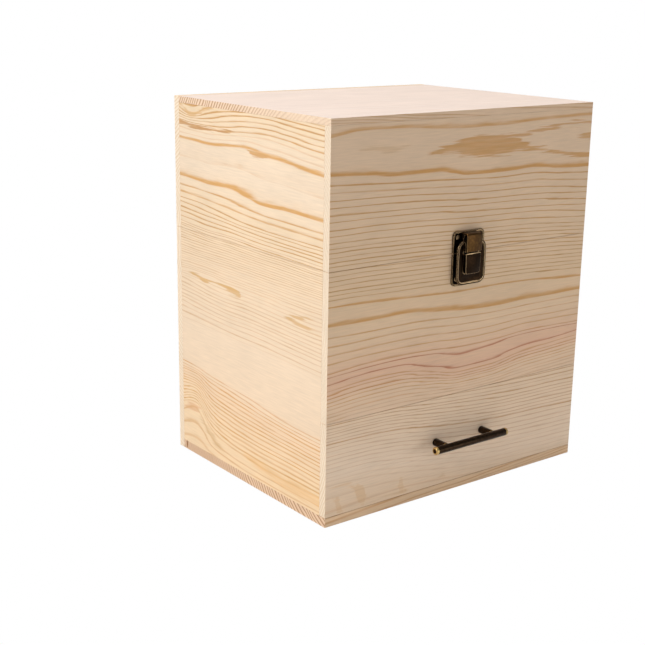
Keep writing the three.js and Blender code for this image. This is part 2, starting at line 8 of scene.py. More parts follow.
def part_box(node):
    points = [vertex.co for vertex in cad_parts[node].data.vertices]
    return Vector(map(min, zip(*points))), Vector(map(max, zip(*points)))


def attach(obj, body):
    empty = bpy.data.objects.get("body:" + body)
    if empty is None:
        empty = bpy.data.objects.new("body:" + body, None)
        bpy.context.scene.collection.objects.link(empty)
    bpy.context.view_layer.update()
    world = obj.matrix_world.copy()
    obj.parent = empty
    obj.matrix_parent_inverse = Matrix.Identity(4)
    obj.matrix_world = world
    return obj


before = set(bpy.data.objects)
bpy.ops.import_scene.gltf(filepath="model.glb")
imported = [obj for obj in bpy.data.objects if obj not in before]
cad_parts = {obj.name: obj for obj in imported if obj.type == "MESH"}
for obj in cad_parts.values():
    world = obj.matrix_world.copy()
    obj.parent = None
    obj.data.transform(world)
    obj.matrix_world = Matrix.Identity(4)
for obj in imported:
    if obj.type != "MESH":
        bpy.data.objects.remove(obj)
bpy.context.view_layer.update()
print("model loaded,", len(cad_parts), "nodes")

mm = 0.001


def linear(hexColour):
    # sRGB hex to the linear colour that a shader takes
    parts = [int(hexColour[i : i + 2], 16) / 255 for i in (1, 3, 5)]
    return (*[p / 12.92 if p <= 0.04045 else ((p + 0.055) / 1.055) ** 2.4 for p in parts], 1)


def put(tree, kind, feeds=(), points=(), stops=(), **settings):
    # one node with its settings. A kind in capitals is a step of arithmetic. Feeds are values,
    # sockets or nodes, by place or by name; points shape a curve and stops a colour ramp
    node = tree.nodes.new("ShaderNode" + ("Math" if kind.isupper() else kind))
    if kind.isupper():
        node.operation = kind
    for name, value in settings.items():
        setattr(node, name, value)
    for place, value in (feeds if isinstance(feeds, dict) else dict(enumerate(feeds))).items():
        if isinstance(value, bpy.types.Node):
            value = next(socket for socket in value.outputs if socket.enabled)
        if isinstance(value, bpy.types.NodeSocket):
            tree.links.new(value, node.inputs[place])
        else:
            node.inputs[place].default_value = value
    for spot, (x, y) in enumerate(points):
        curve = node.mapping.curves[0]
        point = curve.points[spot] if spot < 2 else curve.points.new(x, y)
        point.location, point.handle_type = (x, y), "AUTO_CLAMPED"
    if points:
        node.mapping.update()
    for spot, (x, colour) in enumerate(stops):
        elements = node.color_ramp.elements
        stop = elements[spot] if spot < 2 else elements.new(x)
        stop.position, stop.color = x, linear(colour)
    return node


def startMaterial(name):
    material = bpy.data.materials.new(name)
    material.use_nodes = True
    tree = material.node_tree
    tree.nodes.clear()
    return material, tree


# Planed pine: straw yellow to pink early wood, and lines of late wood from tan to orange.
# The boards that the eye meets first are charted, each in its own dictionary:
# start, turn and axes  where the board starts, and which way it runs along, down and through
# dim                   painted shade: how light its back edge is, where that isn't 1
# log                   how its sawn ends lay in the log
# courses               a growth line's number, then how many millimetres under the box's top
#                       edge it lies at equally spaced places along the board. The lines
#                       between two courses share the room out
# lines                 from a line's number on: its width in millimetres, its strength, and
#                       its hue, as a place from 0 to 1 in hues
# base                  the early wood's colour, by line number
# strokes               patches where the saw met late wood flat. Each spot is millimetres
#                       along, millimetres down, and half the patch's height there
paintedLitEnds = ("#F6E3CC", "#E8CDAB")  # the pale and dark tones of ends that lie in full light: painted light, paler and flatter than other ends

frontBoards = {
    "start": (-172, -135, 390),
    "turn": (1, 1, -1),
    "axes": (0, 2, 1),
    "length": 344,
    "log": {"pith": (150, -260), "taper": 0.02, "waver": 5, "spacing": 2.2, "ends": paintedLitEnds},
    "courses": [
        (0, (-3, -3, -2, -3, -3, -2, -3, -3, -3)),
        (1, (16.2, 11.7, 12.5, 14.5, 15.9, 15.9, 13.9, 13.4, 12.5)),
        (2, (50.1, 52.9, 55.7, 55.7, 61.8, 61.8, 60.7, 64.6, 66.3)),
        (3, (59.9, 61.6, 63.5, 65.2, 66.9, 68.2, 67.7, 71, 73)),
        (5, (73.8, 74.7, 76, 78, 80.8, 81.9, 82.5, 85.2, 88.6)),
        (11, (112.8, 112.8, 113.7, 114.8, 117, 118.4, 120.3, 123.1, 126.8)),
        (23, (165.5, 165.8, 167.1, 168, 169.4, 170.5, 172.2, 174.1, 176.1)),
        (24, (172.7, 173.3, 174.9, 176.6, 178.3, 178.3, 179.7, 182.5, 184.7)),
        (25, (189.4, 190, 189.4, 192.8, 197.2, 199.5, 198.3, 199.5, 198.9)),
        (26, (201.1, 201.7, 201.7, 202.8, 205.6, 207.3, 206.7, 206.7, 207.3)),
        (30, (235.4, 232.6, 231.8, 232.9, 236.2, 235.7, 233.4, 234.6, 235.7)),
        (31, (240.1, 236.8, 235.7, 237.6, 244.3, 241.8, 236.8, 238.2, 239.6)),
        (32, (246.5, 243.2, 242.4, 249.9, 258.2, 257.7, 250.2, 248.5, 246.5)),
        (33, (252.9, 249.3, 248.8, 255.5, 263.5, 263.2, 256.6, 254.1, 252.1)),
        (40, (279.4, 277.5, 277.2, 279.4, 282.2, 282.8, 280.2, 278.6, 277.5)),
        (46, (300.9, 300.9, 301, 301.2, 301.4, 301.2, 301, 300.9, 300.9)),
    ],
    "lines": [
        (0, 0.9, 0.6, 0.5), (1, 2.3, 1.0, 0.5), (2, 2.7, 1.0, 0.5), (3, 0.9, 1.0, 0.4),
        (5, 0.6, 1.15, 0.35), (11, 0.5, 1.2, 0.25), (17, 0.5, 1.15, 0.2), (24, 1.3, 1.1, 0.5),
        (25, 3.2, 0.9, 0.5), (26, 0.8, 0.85, 0.45), (30, 0.8, 0.8, 0.7), (31, 0.9, 1.0, 1.0),
        (33, 0.7, 1.0, 0.7), (36, 0.6, 0.75, 0.5), (40, 0.6, 0.65, 0.3),
    ],
    "hues": [(0, "#C69A68"), (0.5, "#DAA25F"), (1, "#CF8865")],
    "base": [(0, "#F0D1B1"), (23, "#EFCFAA"), (27, "#F5D5B3"), (32, "#F2C8A8"), (37, "#F6D6B7")],
    "strokes": [
        {
            "colour": "#DBA86E", "strength": 0.95, "soft": 1.2,
            "spots": [
                (119, 38.5, 0.4), (134, 36.8, 3.2), (152, 35.6, 5.6), (170, 35, 8.6),
                (186, 35.6, 9.6), (203, 36.2, 9.6), (219, 36.3, 9.2), (233, 37, 7.6),
                (244, 39.6, 4.8), (258, 42.3, 2.6), (276, 44.6, 1.8), (300, 49.6, 1.8),
                (322, 52.8, 1.9), (344, 54.6, 1.8),
            ],
        },
        {
            "colour": "#DCAA76", "strength": 0.9, "soft": 0.9,
            "spots": [
                (214, 29.6, 2), (240, 28.2, 1.9), (259, 25.2, 1.6), (279, 22.8, 1.3),
                (300, 21, 1.1), (344, 20.1, 1),
            ],
        },
        {
            "colour": "#E2BD93", "strength": 0.6, "soft": 1.4,
            "spots": [
                (34, 29, 0.6), (50, 29.6, 1.7), (66, 32, 3.4), (78, 31, 1.8), (90, 29, 0.6),
            ],
        },
        {
            "colour": "#DBA86E", "strength": 0.8, "soft": 1.4,
            "spots": [(326, 34.6, 0.5), (336, 34.6, 2.6), (344, 34.6, 3.6)],
        },
    ],
}

drawerBoard = {
    "start": (-172, -135, 390),
    "turn": (1, 1, -1),
    "axes": (0, 2, 1),
    "length": 344,
    "log": {"pith": (240, 330), "taper": 0.02, "waver": 6, "spacing": 2.6, "ends": paintedLitEnds},
    "courses": [
        (0, (269, 269, 270, 272, 275, 277, 278, 278.6, 278.6)),
        (5, (284, 284.5, 286, 289.7, 293.5, 297, 299, 300, 301)),
        (12, (305.5, 306, 308, 314, 319.5, 323.5, 325.5, 327, 328.5)),
        (16, (322, 322.5, 325.5, 332, 338, 343, 346, 347.5, 348.5)),
        (20, (339, 339, 343, 350, 357, 362, 365, 367, 368)),
        (22, (347, 349, 354, 361, 367, 372, 375, 377, 378)),
        (24, (376, 374, 372, 374, 378, 381, 383, 385, 386)),
        (25, (395.6,) * 9),
    ],
    "lines": [
        (0, 0.6, 0.75, 0.35), (5, 0.65, 0.9, 0.4), (6, 0.6, 0.7, 0.35), (12, 1.2, 1.1, 0.4),
        (13, 0.6, 0.5, 0.35), (17, 0.6, 0.36, 0.35), (21, 0.8, 0.25, 0.35), (24, 1.4, 0.3, 0.5),
    ],
    "hues": [(0, "#C39B6A"), (0.5, "#D29C60"), (1, "#C98562")],
    "base": [(0, "#F8DBBC"), (20, "#FCE3C9"), (25, "#F8DBBC")],
    "strokes": [
        {
            "colour": "#E6B97E", "strength": 0.4, "soft": 1.6,
            "spots": [
                (8, 350.5, 0.5), (20, 351.5, 0.9), (32, 354.5, 1.6), (38, 360, 5.5),
                (43, 366, 10), (48, 369, 8), (51, 371, 1),
            ],
        },
        {
            "colour": "#E6B97E", "strength": 0.32, "soft": 1.6,
            "spots": [(12, 366, 0.5), (15, 370, 7), (19, 375, 5), (21, 378, 0.6)],
        },
        {
            "colour": "#E6BC86", "strength": 0.36, "soft": 1.6,
            "spots": [(91, 368, 0.5), (94, 369, 7), (97, 370, 7.5), (99, 372, 1)],
        },
        {
            "colour": "#E2BA88", "strength": 0.4, "soft": 1.2,
            "spots": [(60, 377.5, 0.4), (80, 377.5, 0.9), (98, 376.5, 1.6), (103, 376, 0.4)],
        },
        {
            "colour": "#E2BA88", "strength": 0.4, "soft": 1.2,
            "spots": [(146, 373, 0.4), (152, 373, 3), (157, 374.4, 0.4)],
        },
    ],
}

leftBoards = {
    "start": (-172, 135, 390),
    "turn": (1, -1, -1),
    "axes": (1, 2, 0),
    "length": 270,
    # painted shade: darker toward the back edge, where less of the lamps' light falls
    "dim": 0.94,
    "log": {"pith": (-40, 20), "taper": 0.02, "waver": 6, "spacing": 2.4},
    "courses": [
        (0, (1.7, 8.4, 1.1, 0, 0, 0, 0, 2.2, 4.5)),
        (1, (8.9, 16.7, 7, 3.9, 2.8, 2.8, 3.9, 6.7, 8.4)),
        (2, (12.8, 18.4, 13.4, 8.9, 6.7, 6.1, 7.8, 10.3, 12.3)),
        (3, (16.2, 20.3, 18.4, 13.4, 10.6, 10, 12.3, 14.8, 16.7)),
        (4, (19.5, 22.6, 21.7, 18.4, 15, 14.5, 16.7, 19.8, 21.7)),
        (5, (22.6, 24.8, 25.1, 23.4, 20.1, 19.5, 21.7, 24.8, 27)),
        (6, (25.6, 27.6, 29, 27.9, 25.6, 24.5, 26.7, 30.1, 32.9)),
        (7, (31.2, 32.9, 33.7, 31.8, 29.5, 29, 31.8, 35.4, 38.4)),
        (8, (36.2, 37.3, 38.2, 36.5, 34.5, 36.2, 38.4, 42.3, 45.4)),
        (9, (41.8, 42.3, 43.7, 41.8, 39.8, 44, 46, 50.1, 53.5)),
        (10, (81.6, 82.2, 83.9, 82.7, 86.9, 92.5, 91.4, 92.5, 93.6)),
        (11, (91.4, 92.5, 94.2, 96.4, 99.5, 102, 103.1, 103.9, 104.7)),
        (13, (104.7, 106.4, 109.2, 112, 114.8, 116.4, 117, 117.3, 117.6)),
        (18, (129.8, 132, 133.2, 132.6, 133.2, 134.3, 134.8, 135.4, 135.9)),
        (32, (167.1, 167.1, 166.6, 166.6, 166.6, 166.6, 166.6, 166.6, 166.6)),
        (38, (182.5, 181.1, 181.1, 182.5, 182.5, 182.5, 183.9, 184.4, 183.9)),
        (42, (192.8, 195, 198.3, 199.5, 198.3, 199.5, 201.1, 201.7, 201.1)),
        (45, (206.1, 207.5, 210.3, 211.7, 211.2, 211.7, 212.8, 213.9, 214.5)),
        (48, (217.8, 220.1, 221.7, 222.9, 222.3, 222.9, 224, 225.1, 226.2)),
        (51, (236.8, 236.8, 237.3, 238.2, 239, 239, 239.6, 240.1, 240.7)),
        (52, (286.9, 288, 291.1, 293.1, 295.8, 299.5, 302.2, 303.1, 303.6)),
        (59, (309.8, 307.5, 320.4, 325.4, 328.2, 329.3, 329.8, 330.4, 330.9)),
        (63, (328.2, 320.4, 337.9, 345.4, 347.1, 348.2, 348.2, 348.8, 349.3)),
        (66, (337.6, 329.3, 351.6, 359.4, 362.1, 363.8, 363.8, 363.3, 362.7)),
        (67, (348.2, 335.7, 362.1, 369.1, 371.6, 372.7, 372.7, 372.2, 371.6)),
        (70, (390, 388.9, 388.9, 388.9, 388.9, 388.9, 388.9, 388.9, 388.9)),
    ],
    "lines": [
        (0, 0.8, 1.0, 0.35), (2, 0.8, 1.1, 0.3), (6, 0.9, 0.8, 0.4), (7, 0.8, 0.4, 0.5),
        (8, 0.8, 0.3, 0.5), (9, 3.1, 1.1, 0.5), (10, 3.2, 1.05, 0.5), (11, 1.2, 1.1, 0.4),
        (13, 0.6, 1.15, 0.3), (18, 0.5, 0.95, 0.2), (24, 0.5, 0.75, 0.2), (32, 0.5, 0.55, 0.3),
        (38, 0.7, 0.5, 0.3), (42, 0.7, 0.6, 0.25), (51, 0.9, 0.3, 0.2), (52, 0.7, 0.95, 0.6),
        (54, 0.7, 1.05, 0.55), (59, 0.9, 1.1, 0.5), (63, 1.2, 0.9, 0.45), (67, 1.4, 0.7, 0.4),
    ],
    "hues": [(0, "#C69B69"), (0.5, "#DCA662"), (1, "#D69868")],
    "base": [
        (0, "#F5DBB8"), (9.5, "#F5DEC3"), (12, "#F4DAB9"), (51, "#F4DBBE"), (55, "#F4D5B3"),
        (65, "#F8DBB5"),
    ],
    "strokes": [
        {
            "colour": "#DDAC6C", "strength": 0.6, "soft": 1.0,
            "spots": [
                (3, 5, 0.6), (18, 10.5, 1.4), (34, 17.6, 2.2), (50, 13.4, 1.4), (68, 7.6, 1.2),
                (84, 3.4, 0.6),
            ],
        },
        {
            "colour": "#C79257", "strength": 0.85, "soft": 0.8,
            "spots": [
                (4, 26.4, 1.6), (26, 27.6, 2.1), (46, 28.8, 2.2), (64, 28.2, 1.6),
                (84, 28.1, 1.5), (100, 27.3, 1), (112, 26.9, 0.3),
            ],
        },
        {
            "colour": "#D8A468", "strength": 0.9, "soft": 0.9,
            "spots": [
                (137, 41.6, 0.4), (148, 44, 2.4), (160, 45, 2.8), (168, 44.6, 1.6),
                (174, 44, 0.3),
            ],
        },
        {
            "colour": "#DBAE70", "strength": 0.85, "soft": 0.9,
            "spots": [
                (28, 184.5, 0.4), (44, 185.6, 1.6), (56, 188, 2.2), (72, 186.2, 1.8),
                (92, 187.4, 1.6), (108, 189.4, 2.8), (120, 190.8, 3.4), (127, 190.8, 0.6),
            ],
        },
        {
            "colour": "#DDB177", "strength": 0.75, "soft": 0.8,
            "spots": [(204, 195, 0.4), (217, 193, 1.8), (228, 190, 1.4), (245, 188, 0.4)],
        },
        {
            "colour": "#DDB177", "strength": 0.7, "soft": 0.8,
            "spots": [(206, 195, 0.4), (226, 197.2, 1.8), (246, 199, 0.8), (256, 200, 0.3)],
        },
        {
            "colour": "#EFC184", "strength": 0.6, "soft": 2.6,
            "spots": [
                (132, 359.5, 0.6), (156, 362, 3), (178, 364.5, 4.4), (206, 367, 5.4),
                (234, 367.5, 5.8), (262, 367.5, 5.6),
            ],
        },
        {
            "colour": "#DDB886", "strength": 0.6, "soft": 2.2,
            "spots": [
                (44, 345, 0.6), (56, 352, 3.4), (67, 359, 4.6), (78, 365, 3.2), (92, 368.4, 0.6),
            ],
        },
        {
            "colour": "#E0A876", "strength": 0.5, "soft": 2.6,
            "spots": [(12, 341, 0.6), (22, 337, 4), (32, 335, 4.6), (42, 334, 1)],
        },
    ],
}

# Each size of a pattern is its millimetres along the grain, across the face and through
pineLook = {
    "cloud": 0.07,
    "cloudSize": (80, 34, 34),
    "fibre": 0.12,
    "fibreSize": (24, 1.6, 1.6),  # real fibres are 0.03 mm wide: drawn wider, so that they show
    "streakSize": (34, 2.2, 6),
    "dimSpan": 110.0,  # how far from a board's start the painted shade on its back edge reaches
    "ridge": 0.5,  # how far a growth line stands up, beside the fibres
    "bump": 0.06,
    "bumpHeight": 0.3,
    "rough": 0.66,
    "lateRough": -0.08,  # late wood is harder, and planes smoother
    "ior": 1.5,
}
squareOn = 0.7  # a face counts as facing an axis from this share of its normal on


def boardPlace(tree, board):
    # millimetres along the grain, across the face and through the board
    spot = put(tree, "TexCoord").outputs["Object"]
    scale = [1000 * side for side in board["turn"]]
    shift = [-start * side for start, side in zip(board["start"], board["turn"])]
    placed = put(tree, "VectorMath", (spot, scale, shift), operation="MULTIPLY_ADD")
    parts = put(tree, "SeparateXYZ", (placed,)).outputs
    return put(tree, "CombineXYZ", [parts[axis] for axis in board["axes"]])


def grainNoise(tree, place, lengths, detail=2.0):
    # noise stretched to these lengths, in millimetres along, across and through
    shares = [1 / length for length in lengths]
    shrunk = put(tree, "VectorMath", (place, shares), operation="MULTIPLY")
    settings = {"Vector": shrunk, "Scale": 1.0, "Detail": detail, "Roughness": 0.5}
    return put(tree, "TexNoise", settings)


def swayed(tree, value, noise, amount):
    # a value pushed up and down by noise, by at most this amount
    return put(tree, "MULTIPLY_ADD", (put(tree, "SUBTRACT", (noise, 0.5)), 2 * amount, value))


def facing(tree, axis):
    # 1 on faces that look along an axis
    normal = put(tree, "SeparateXYZ", (put(tree, "TexCoord").outputs["Normal"],))
    return put(tree, "GREATER_THAN", (put(tree, "ABSOLUTE", (normal.outputs[axis],)), squareOn))


# Most of a growth line is crisp, and the rest fades into the early wood
lineLook = {"crispFrom": 0.2, "crispTo": 0.75, "crispShare": 0.72}


def growthLines(tree, ring, rise, fall):
    # each year starts pale, darkens slowly to its line, and the next starts sharply behind it
    low, high, share = (lineLook[k] for k in ("crispFrom", "crispTo", "crispShare"))
    part = put(tree, "FRACT", (ring,))
    dark = put(tree, "POWER", (part, rise))
    pale = put(tree, "POWER", (put(tree, "SUBTRACT", (1.0, part)), fall))
    soft = put(tree, "MAXIMUM", (dark, pale))
    crisp = {"Value": soft, "From Min": low, "From Max": high, "To Max": share}
    core = put(tree, "MapRange", crisp, interpolation_type="SMOOTHSTEP")
    return put(tree, "MULTIPLY_ADD", (soft, 1 - share, core))


ringLook = {
    "waverSize": (140, 30, 30),
    "weather": 22.0,  # good and bad years come in runs of about so many millimetres
}


def logRing(tree, place, log, uneven):
    # growth rings round a pith that lies to the side of the board, wavering and tapering
    warp = grainNoise(tree, place, ringLook["waverSize"])
    moved = put(tree, "VectorMath", (place, (0, *log["pith"])), operation="SUBTRACT")
    flat = put(tree, "VectorMath", (moved, (0, 1, 1)), operation="MULTIPLY")
    radius = put(tree, "VectorMath", (flat,), operation="LENGTH")
    along = put(tree, "SeparateXYZ", (place,)).outputs[0]
    tapered = put(tree, "MULTIPLY_ADD", (along, log["taper"], radius))
    bent = put(tree, "MULTIPLY_ADD", (warp, log["waver"], tapered))
    run = {"W": put(tree, "DIVIDE", (bent, ringLook["weather"])), "Scale": 1.0}
    year = put(tree, "TexNoise", run, noise_dimensions="1D")
    return put(tree, "MULTIPLY_ADD", (year, uneven, put(tree, "DIVIDE", (bent, log["spacing"]))))


# Sawn ends show the log's rings. A board's log can give its own values for these. EndFade is
# from where to where across the board its rings come out of endFar's tone
endLook = {
    "ends": ("#EBCDB0", "#C49A76"),
    "endFade": (-9000, -8000),
    "faintest": 0.2,
    "uneven": 1.2,
    "rise": 2.6,
    "fall": 6.0,
}


def endGrain(tree, place, across, log):
    # the colour of a sawn end
    rings = logRing(tree, place, log, log["uneven"])
    low, high = log["endFade"]
    fading = {"Value": across, "From Min": low, "From Max": high, "To Min": log["faintest"]}
    fade = put(tree, "MapRange", fading)
    lines = growthLines(tree, rings, log["rise"], log["fall"])
    pale, dark = log["ends"]
    field = {0: fade, 6: linear(log.get("endFar", pale)), 7: linear(pale)}
    ringed = {
        0: put(tree, "MULTIPLY", (lines, fade)),
        6: put(tree, "Mix", field, data_type="RGBA"),
        7: linear(dark),
    }
    return put(tree, "Mix", ringed, data_type="RGBA")


def finishPine(material, tree, place, colour, line, board):
    # the sawn ends, clouds and fibres in the brightness, painted shade toward a dim board's back
    # edge, and a faint ridge at each line
    look = pineLook
    parts = put(tree, "SeparateXYZ", (place,)).outputs
    endColour = endGrain(tree, place, parts[1], {**endLook, **board["log"]})
    ends = facing(tree, board["axes"][0])
    both = put(tree, "Mix", {0: ends, 6: colour, 7: endColour}, data_type="RGBA")
    fibre = grainNoise(tree, place, look["fibreSize"], 3.0)
    light = swayed(tree, 1.0, grainNoise(tree, place, look["cloudSize"]), look["cloud"])
    light = swayed(tree, light, fibre, look["fibre"])
    # painted shade: a dim board's colour darkens toward its back edge
    if "dim" in board:
        dim = {"Value": parts[0], "From Max": look["dimSpan"], "To Min": board["dim"]}
        light = put(tree, "MULTIPLY", (light, put(tree, "MapRange", dim)))
    ridges = put(tree, "MULTIPLY_ADD", (line, look["ridge"], fibre))
    relief = {"Strength": look["bump"], "Distance": look["bumpHeight"] * mm, "Height": ridges}
    shader = put(tree, "BsdfPrincipled", {
        "Base Color": put(tree, "VectorMath", {0: both, 3: light}, operation="SCALE"),
        "Roughness": put(tree, "MULTIPLY_ADD", (line, look["lateRough"], look["rough"])),
        "Normal": put(tree, "Bump", relief),
        "IOR": look["ior"],
    })
    put(tree, "OutputMaterial", (shader,))
    return material


# How a chart is drawn. A line bends, shivers and is unevenly spaced by so many millimetres.
# Rise and fall are how sharp its front and back are for its width; curves hold them as shares
# of their scales, because a curve's values stay under 1
chartLook = {
    "span": 400,  # the height that a chart's curves cover
    "bend": 1.1,
    "bendSize": (90, 18, 30),
    "shiver": 0.3,
    "shiverSize": (16, 3, 8),
    "uneven": 1.3,
    "unevenSize": 7.0,
    "lean": 0.4,  # how far lines drift down for each millimetre through the board
    "rise": 0.69,
    "riseScale": 60,
    "fall": 2.1,
    "fallScale": 120,
    "swellLeast": 15.0,
    "swell": 90.0,  # a line swells and shrinks along its way: its front is sharper here and there
    "swellSize": (30, 7, 12),
    "weightLeast": 0.05,
    "weightByLine": 0.5,
    "weightByStreak": 1.2,
}


def lineRows(board):
    # for each growth line: how sharply it rises and falls, its strength and its hue
    courses, last = board["courses"], board["courses"][-1][0]
    gaps = []
    for (low, upper), (high, lower) in zip(courses, courses[1:]):
        gaps += [(sum(lower) - sum(upper)) / len(upper) / (high - low)] * (high - low)
    look, rows = chartLook, []
    for line in range(last + 1):
        width, strength, hue = [row[1:] for row in board["lines"] if row[0] <= line][-1]
        before, after = gaps[max(line - 1, 0)], gaps[min(line, last - 1)]
        rise = min(look["rise"] * before / width / look["riseScale"], 1)
        fall = min(look["fall"] * after / width / look["fallScale"], 1)
        rows.append((rise, fall, strength, hue))
    return rows


def chartedRing(tree, along, down, board):
    # growth lines counted down the board, with the fraction between two of them
    numbers, charts = zip(*board["courses"])
    span, edges = chartLook["span"], []
    for heights in charts:
        last = len(heights) - 1
        spots = [(spot / last, 0.5 + height / span / 2) for spot, height in enumerate(heights)]
        edges.append(put(tree, "FloatCurve", {"Value": along}, points=spots))
    ring = 0.0
    for low, high, upper, lower in zip(numbers, numbers[1:], edges, edges[1:]):
        share = {"Value": down, "From Min": upper, "From Max": lower, "To Max": high - low}
        ring = put(tree, "ADD", (ring, put(tree, "MapRange", share)))
    return ring


strokeLook = {
    "reach": 20,  # the half height, in millimetres, that a stroke's curve can say
    "lead": 6,
    "full": 0.03,  # share of reach from which a stroke is all there
    "fray": 15.0,
    "fraySize": (44, 2.6, 8),
    "streakLeast": 0.5,
    "streaks": 0.9,
}


def strokeMask(tree, along, down, frays, board, stroke):
    # a wider patch of dark wood that runs with the grain and frays at its ends
    look, length, span = strokeLook, board["length"], chartLook["span"]
    spots, soft, lead = stroke["spots"], stroke["soft"], look["lead"]
    heights = [(x / length, 0.5 + y / span / 2) for x, y, high in spots]
    middle = put(tree, "FloatCurve", {"Value": along}, points=heights)
    halves = [(x / length, high / look["reach"]) for x, y, high in spots]
    first, last = spots[0][0], spots[-1][0]
    if first > lead:
        halves.insert(0, ((first - lead) / length, 0.0))
    if last < length - lead:
        halves.append(((last + lead) / length, 0.0))
    half = put(tree, "FloatCurve", {"Value": along}, points=halves)
    away = put(tree, "ABSOLUTE", (put(tree, "SUBTRACT", (down, middle)),))
    even = put(tree, "MULTIPLY_ADD", (half, float(look["reach"]), -look["fray"] / 2))
    frayed = put(tree, "MULTIPLY_ADD", (frays, look["fray"], even))
    inside = put(tree, "SUBTRACT", (frayed, put(tree, "MULTIPLY", (away, 2 * span))))
    edge = {"Value": inside, "From Min": -soft, "From Max": soft, "To Max": stroke["strength"]}
    streaks = put(tree, "MULTIPLY_ADD", (frays, look["streaks"], look["streakLeast"]))
    streaky = put(tree, "MULTIPLY", (put(tree, "MapRange", edge), streaks), use_clamp=True)
    present = put(tree, "MapRange", {"Value": half, "From Max": look["full"]})
    return put(tree, "MULTIPLY", (present, streaky))


def chartedPine(name, board):
    # a board with its own growth lines, as charted
    look = chartLook
    material, tree = startMaterial(name)
    place = boardPlace(tree, board)
    parts = put(tree, "SeparateXYZ", (place,)).outputs
    along = put(tree, "DIVIDE", (parts[0], float(board["length"])))
    down = swayed(tree, parts[1], grainNoise(tree, place, look["bendSize"]), look["bend"])
    down = swayed(tree, down, grainNoise(tree, place, look["shiverSize"]), look["shiver"])
    down = put(tree, "MULTIPLY_ADD", (parts[2], look["lean"], down))
    gaps = {"W": put(tree, "DIVIDE", (parts[1], look["unevenSize"])), "Scale": 1.0}
    down = swayed(tree, down, put(tree, "TexNoise", gaps, noise_dimensions="1D"), look["uneven"])
    down = put(tree, "MULTIPLY_ADD", (down, 0.5 / look["span"], 0.5))
    ring = chartedRing(tree, along, down, board)
    rows = lineRows(board)
    whole = put(tree, "FLOOR", (put(tree, "ADD", (ring, 0.5)),))
    spot = put(tree, "DIVIDE", (put(tree, "ADD", (whole, 0.5)), float(len(rows))))
    curves = []
    for column in range(4):
        points = [((number + 0.5) / len(rows), row[column]) for number, row in enumerate(rows)]
        curves.append(put(tree, "FloatCurve", {"Value": spot}, points=points))
    rise, fall, strength, hue = curves
    swelling = grainNoise(tree, place, look["swellSize"])
    swell = put(tree, "MULTIPLY_ADD", (swelling, look["swell"], look["swellLeast"]))
    sharp = put(tree, "MULTIPLY", (fall, float(look["fallScale"])))
    line = growthLines(tree, ring, put(tree, "MULTIPLY", (rise, swell)), sharp)
    chance = put(tree, "TexWhiteNoise", {"W": whole}, noise_dimensions="1D")
    streaks = grainNoise(tree, place, pineLook["streakSize"])
    perLine = put(tree, "MULTIPLY_ADD", (chance, look["weightByLine"], look["weightLeast"]))
    varied = put(tree, "MULTIPLY_ADD", (streaks, look["weightByStreak"], perLine))
    weight = put(tree, "MULTIPLY", (strength, varied))
    amount = put(tree, "MULTIPLY", (line, weight), use_clamp=True)
    last = float(len(rows) - 1)
    baseStops = [(number / last, tone) for number, tone in board["base"]]
    base = put(tree, "ValToRGB", {"Fac": put(tree, "DIVIDE", (ring, last))}, stops=baseStops)
    tint = put(tree, "ValToRGB", {"Fac": hue}, stops=board["hues"])
    colour = put(tree, "Mix", {0: amount, 6: base, 7: tint}, data_type="RGBA")
    frays = grainNoise(tree, place, strokeLook["fraySize"], 3.0)
    for stroke in board["strokes"]:
        mask = strokeMask(tree, along, down, frays, board, stroke)
        laid = {0: mask, 6: colour, 7: linear(stroke["colour"])}
        colour = put(tree, "Mix", laid, data_type="RGBA")
    return finishPine(material, tree, place, colour, amount, board)


# Boards that aren't charted show the figure of where they lay in their log. A board's number
# says how far along the log it lay, and picks its pale and dark tones. Walls that were one
# panel before the lid was sawn off share a number and an origin. Own tones are the face's
# pale and dark, then those of the edges
sawnLook = {
    "pales": ("#F3D9B8", "#F1D5B2", "#F4DCC0"),
    "darks": ("#D2A679", "#CFA176", "#D8B088"),
    "apart": 171.0,  # millimetres along the log from one board to the next
    "uneven": 3.5,
    "rise": 3.2,
    "fall": 9.0,
    "weightLeast": 0.2,
    "weightByStreak": 0.9,
}
backWall = {
    "number": 3,
    "origin": (0, 130.5, 195),
    "log": {"pith": (40, -90), "taper": 0.06, "waver": 9, "spacing": 3.4, "ends": paintedLitEnds},
}
rightWall = {
    "number": 7,
    "origin": (167.5, 0, 195),
    "log": {"pith": (-90, 70), "taper": 0.05, "waver": 10, "spacing": 4.4},
}
sawnBoards = {
    "lid_back": backWall,
    "base_back": backWall,
    "lid_right": rightWall,
    "base_right": rightWall,
    "lid_top": {
        # the top face's tones are the pine's colour with painted sheen, paler and less saturated
        # than the other faces
        "tones": (("#F6E3D6", "#EED3C1"), ("#EFCFAF", "#CE9A62")),
        "log": {
            "pith": (-210, -190), "taper": 0.05, "waver": 6, "spacing": 3.8,
            "endFade": (-70, 40), "ends": ("#F3D8BC", "#C3936A"),
        },
    },
    "base_bottom": {
        "tones": (("#EFCDA6", "#CB9A68"), ("#F6D5B0", "#D69F66")),
        "log": {
            "pith": (-200, 130), "taper": 0.04, "waver": 7, "spacing": 4.0,
            "endFade": (75, 5), "endFar": "#D3B090", "ends": ("#EFD2B4", "#B98860"),
        },
    },
}


def boardBox(name):
    # a board's middle in millimetres, and its axes from the longest side to the shortest
    low, high = (Vector(corner) * 1000 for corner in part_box(name))
    sizes = high - low
    return tuple((low + high) / 2), sorted(range(3), key=lambda axis: -sizes[axis])


def anyLog(number):
    # the boards inside take turns at a few ways of lying in the log
    return {
        "pith": (-70 + 61 * (number % 3), 34 + 17 * (number % 4)),
        "taper": 0.03 + 0.012 * (number % 3),
        "waver": 8,
        "spacing": 3.6 + 0.7 * (number % 4),
    }


